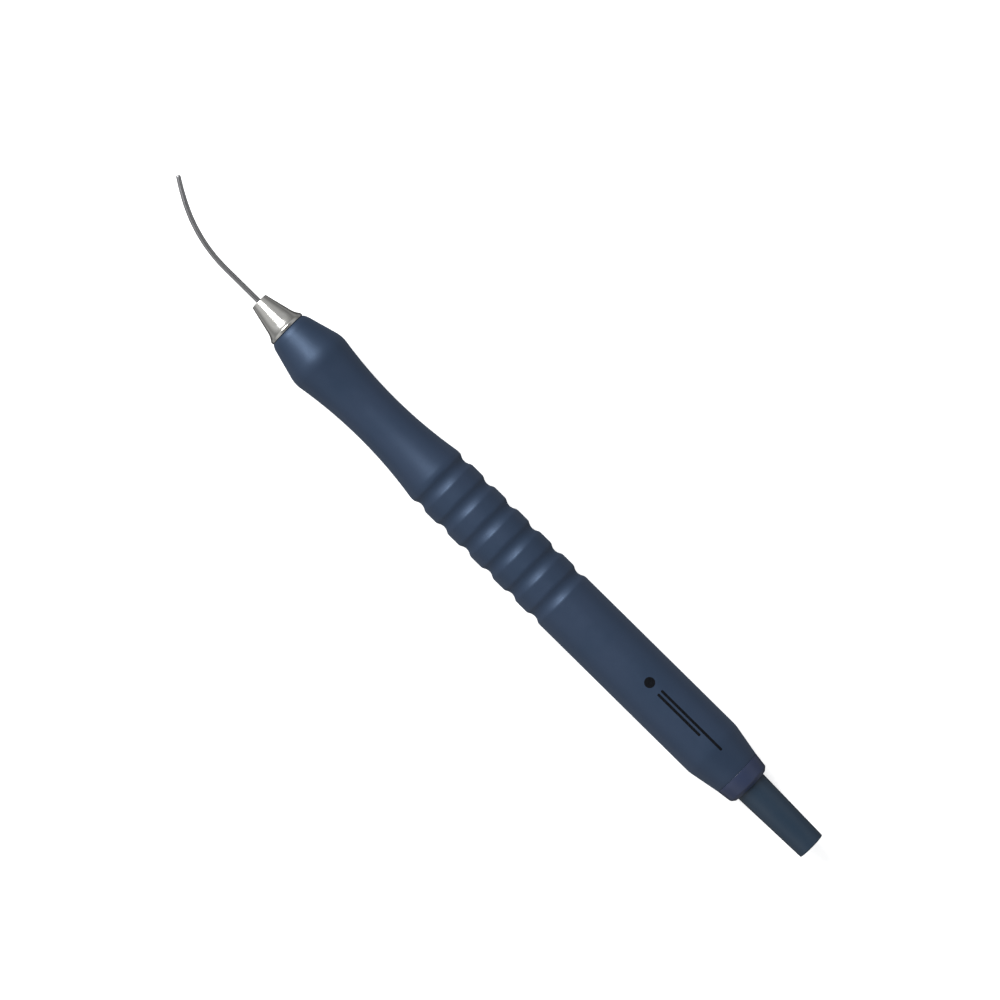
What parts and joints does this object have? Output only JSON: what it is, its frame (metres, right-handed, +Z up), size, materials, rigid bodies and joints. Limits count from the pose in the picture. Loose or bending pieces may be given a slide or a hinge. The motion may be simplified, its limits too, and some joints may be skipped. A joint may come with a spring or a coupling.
{
  "type": "dental explorer",
  "caption": "Dental explorer with a navy silicone grip, a polished screw cap and a clamped, bent wire tip that can be turned or drawn out.",
  "frame": {"origin": "on the surface that the handle lies on, under the middle of the whole length, tip included", "axes": "+X along the handle towards the tip, +Z up, and the tip bends towards -Y; the handle's axis is 6 mm above the surface"},
  "size_m": [0.1661, 0.0122, 0.012],
  "materials": {
    "wire_steel": "satin",
    "polished_steel": "polished",
    "spring_steel": "satin",
    "turned_steel": "satin",
    "brass": "satin",
    "navy_silicone": "satin",
    "navy_resin": "satin",
    "collar_resin": "satin",
    "seal_rubber": "satin"
  },
  "bodies": {
    "handle": {"handle_core": "navy_resin", "stiffening_tube": "turned_steel", "chuck_insert": "brass", "grip_sleeve": "navy_silicone", "sleeve_collar": "collar_resin", "tail_plug": "turned_steel", "plug_seal": "seal_rubber", "chuck_body": "turned_steel", "cap_seal": "seal_rubber", "tip_stop_screw": "turned_steel"},
    "glide": {"glide_ring": "brass"},
    "cap": {"nose_cap": "polished_steel"},
    "collet": {"collet": "spring_steel"},
    "tip": {"explorer_tip": "wire_steel"}
  },
  "joints": [
    {"name": "cap_travel", "type": "slide", "parent": "handle", "child": "glide", "axis": [1, 0, 0], "range_m": [0, 0.0035]},
    {"name": "cap_turn", "type": "hinge", "parent": "glide", "child": "cap", "pos_m": [0.0494, 0, 0.006], "axis": [1, 0, 0], "range_deg": [0, 2520]},
    {"name": "collet_turn", "type": "hinge", "parent": "handle", "child": "collet", "pos_m": [0.0494, 0, 0.006], "axis": [1, 0, 0], "continuous": true},
    {"name": "tip_slide", "type": "slide", "parent": "collet", "child": "tip", "axis": [1, 0, 0], "range_m": [0, 0.0175]}
  ],
  "couplings": [
    {"joint": "cap_turn", "follows": "cap_travel", "rad_per_m": 12566}
  ]
}
